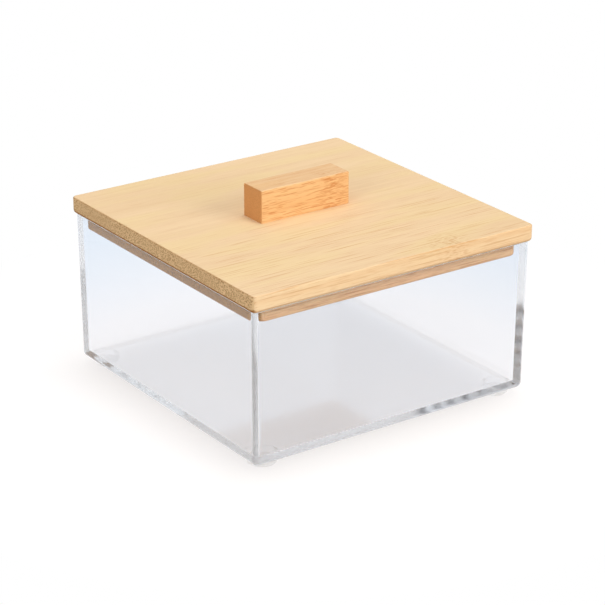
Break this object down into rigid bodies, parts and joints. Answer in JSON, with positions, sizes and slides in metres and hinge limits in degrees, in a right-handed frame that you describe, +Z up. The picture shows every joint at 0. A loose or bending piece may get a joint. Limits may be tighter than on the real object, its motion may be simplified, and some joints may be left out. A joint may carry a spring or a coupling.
{
  "type": "lidded cotton pad box",
  "caption": "Low square clear box on small feet, with a lift-off bamboo lid and a bar handle, for cotton pads and other small vanity items.",
  "frame": {"origin": "middle of the square box, on the surface that its feet stand on", "axes": "+Z up; +X along the handle and the grain of the lid; -Y is the front"},
  "size_m": [0.1, 0.1, 0.0652],
  "materials": {
    "clear_acrylic": "clear, polished",
    "foot_gel": "clear, soft, satin",
    "lid_bamboo": "fine sanded, satin",
    "locating_bamboo": "fine sanded, satin",
    "handle_bamboo": "fine sanded, satin",
    "screw_steel": "zinc plated, bright"
  },
  "bodies": {
    "box": {"clear_box": "clear_acrylic", "foot_front_left": "foot_gel", "foot_front_right": "foot_gel", "foot_back_left": "foot_gel", "foot_back_right": "foot_gel"},
    "lid": {"lid_board": "lid_bamboo", "locating_board": "locating_bamboo", "handle_bar": "handle_bamboo", "handle_screw_left": "screw_steel", "handle_screw_right": "screw_steel"}
  },
  "joints": [
    {"name": "lid_lift", "type": "slide", "parent": "box", "child": "lid", "axis": [0, 0, 1], "range_m": [0, 0.06]}
  ]
}
